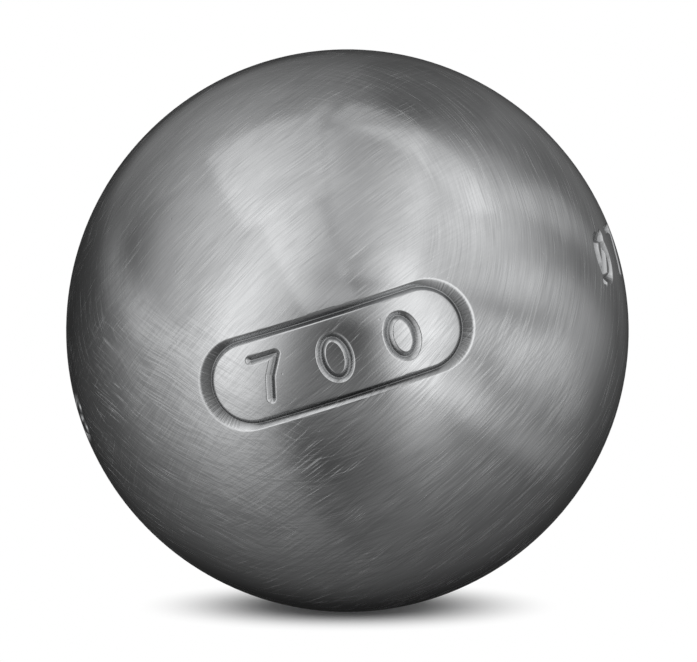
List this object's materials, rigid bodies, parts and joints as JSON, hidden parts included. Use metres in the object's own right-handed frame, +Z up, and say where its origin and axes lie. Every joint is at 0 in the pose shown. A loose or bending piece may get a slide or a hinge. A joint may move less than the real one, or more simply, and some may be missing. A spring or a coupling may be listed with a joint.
{
  "type": "petanque boule",
  "caption": "Hollow steel throwing ball for petanque: half shells joined by a weld bead machined flush, brushed outside, with a framed plate sunk into the front.",
  "frame": {"origin": "centre of the ball", "axes": "+Z up, with the ball lying on the ground at its lowest point; the framed plate faces -Y, 2.5 degrees left of straight ahead, and the line of marks rises 17.5 degrees to the right, towards +X"},
  "size_m": [0.073, 0.073, 0.073],
  "materials": {
    "shell_steel": "belt-ground and brushed satin",
    "weld_steel": "machined flush and brushed satin outside, as welded inside the hollow"
  },
  "bodies": {
    "root": {"front_half_shell": "shell_steel", "rear_half_shell": "shell_steel", "weld_bead": "weld_steel"}
  },
  "joints": []
}
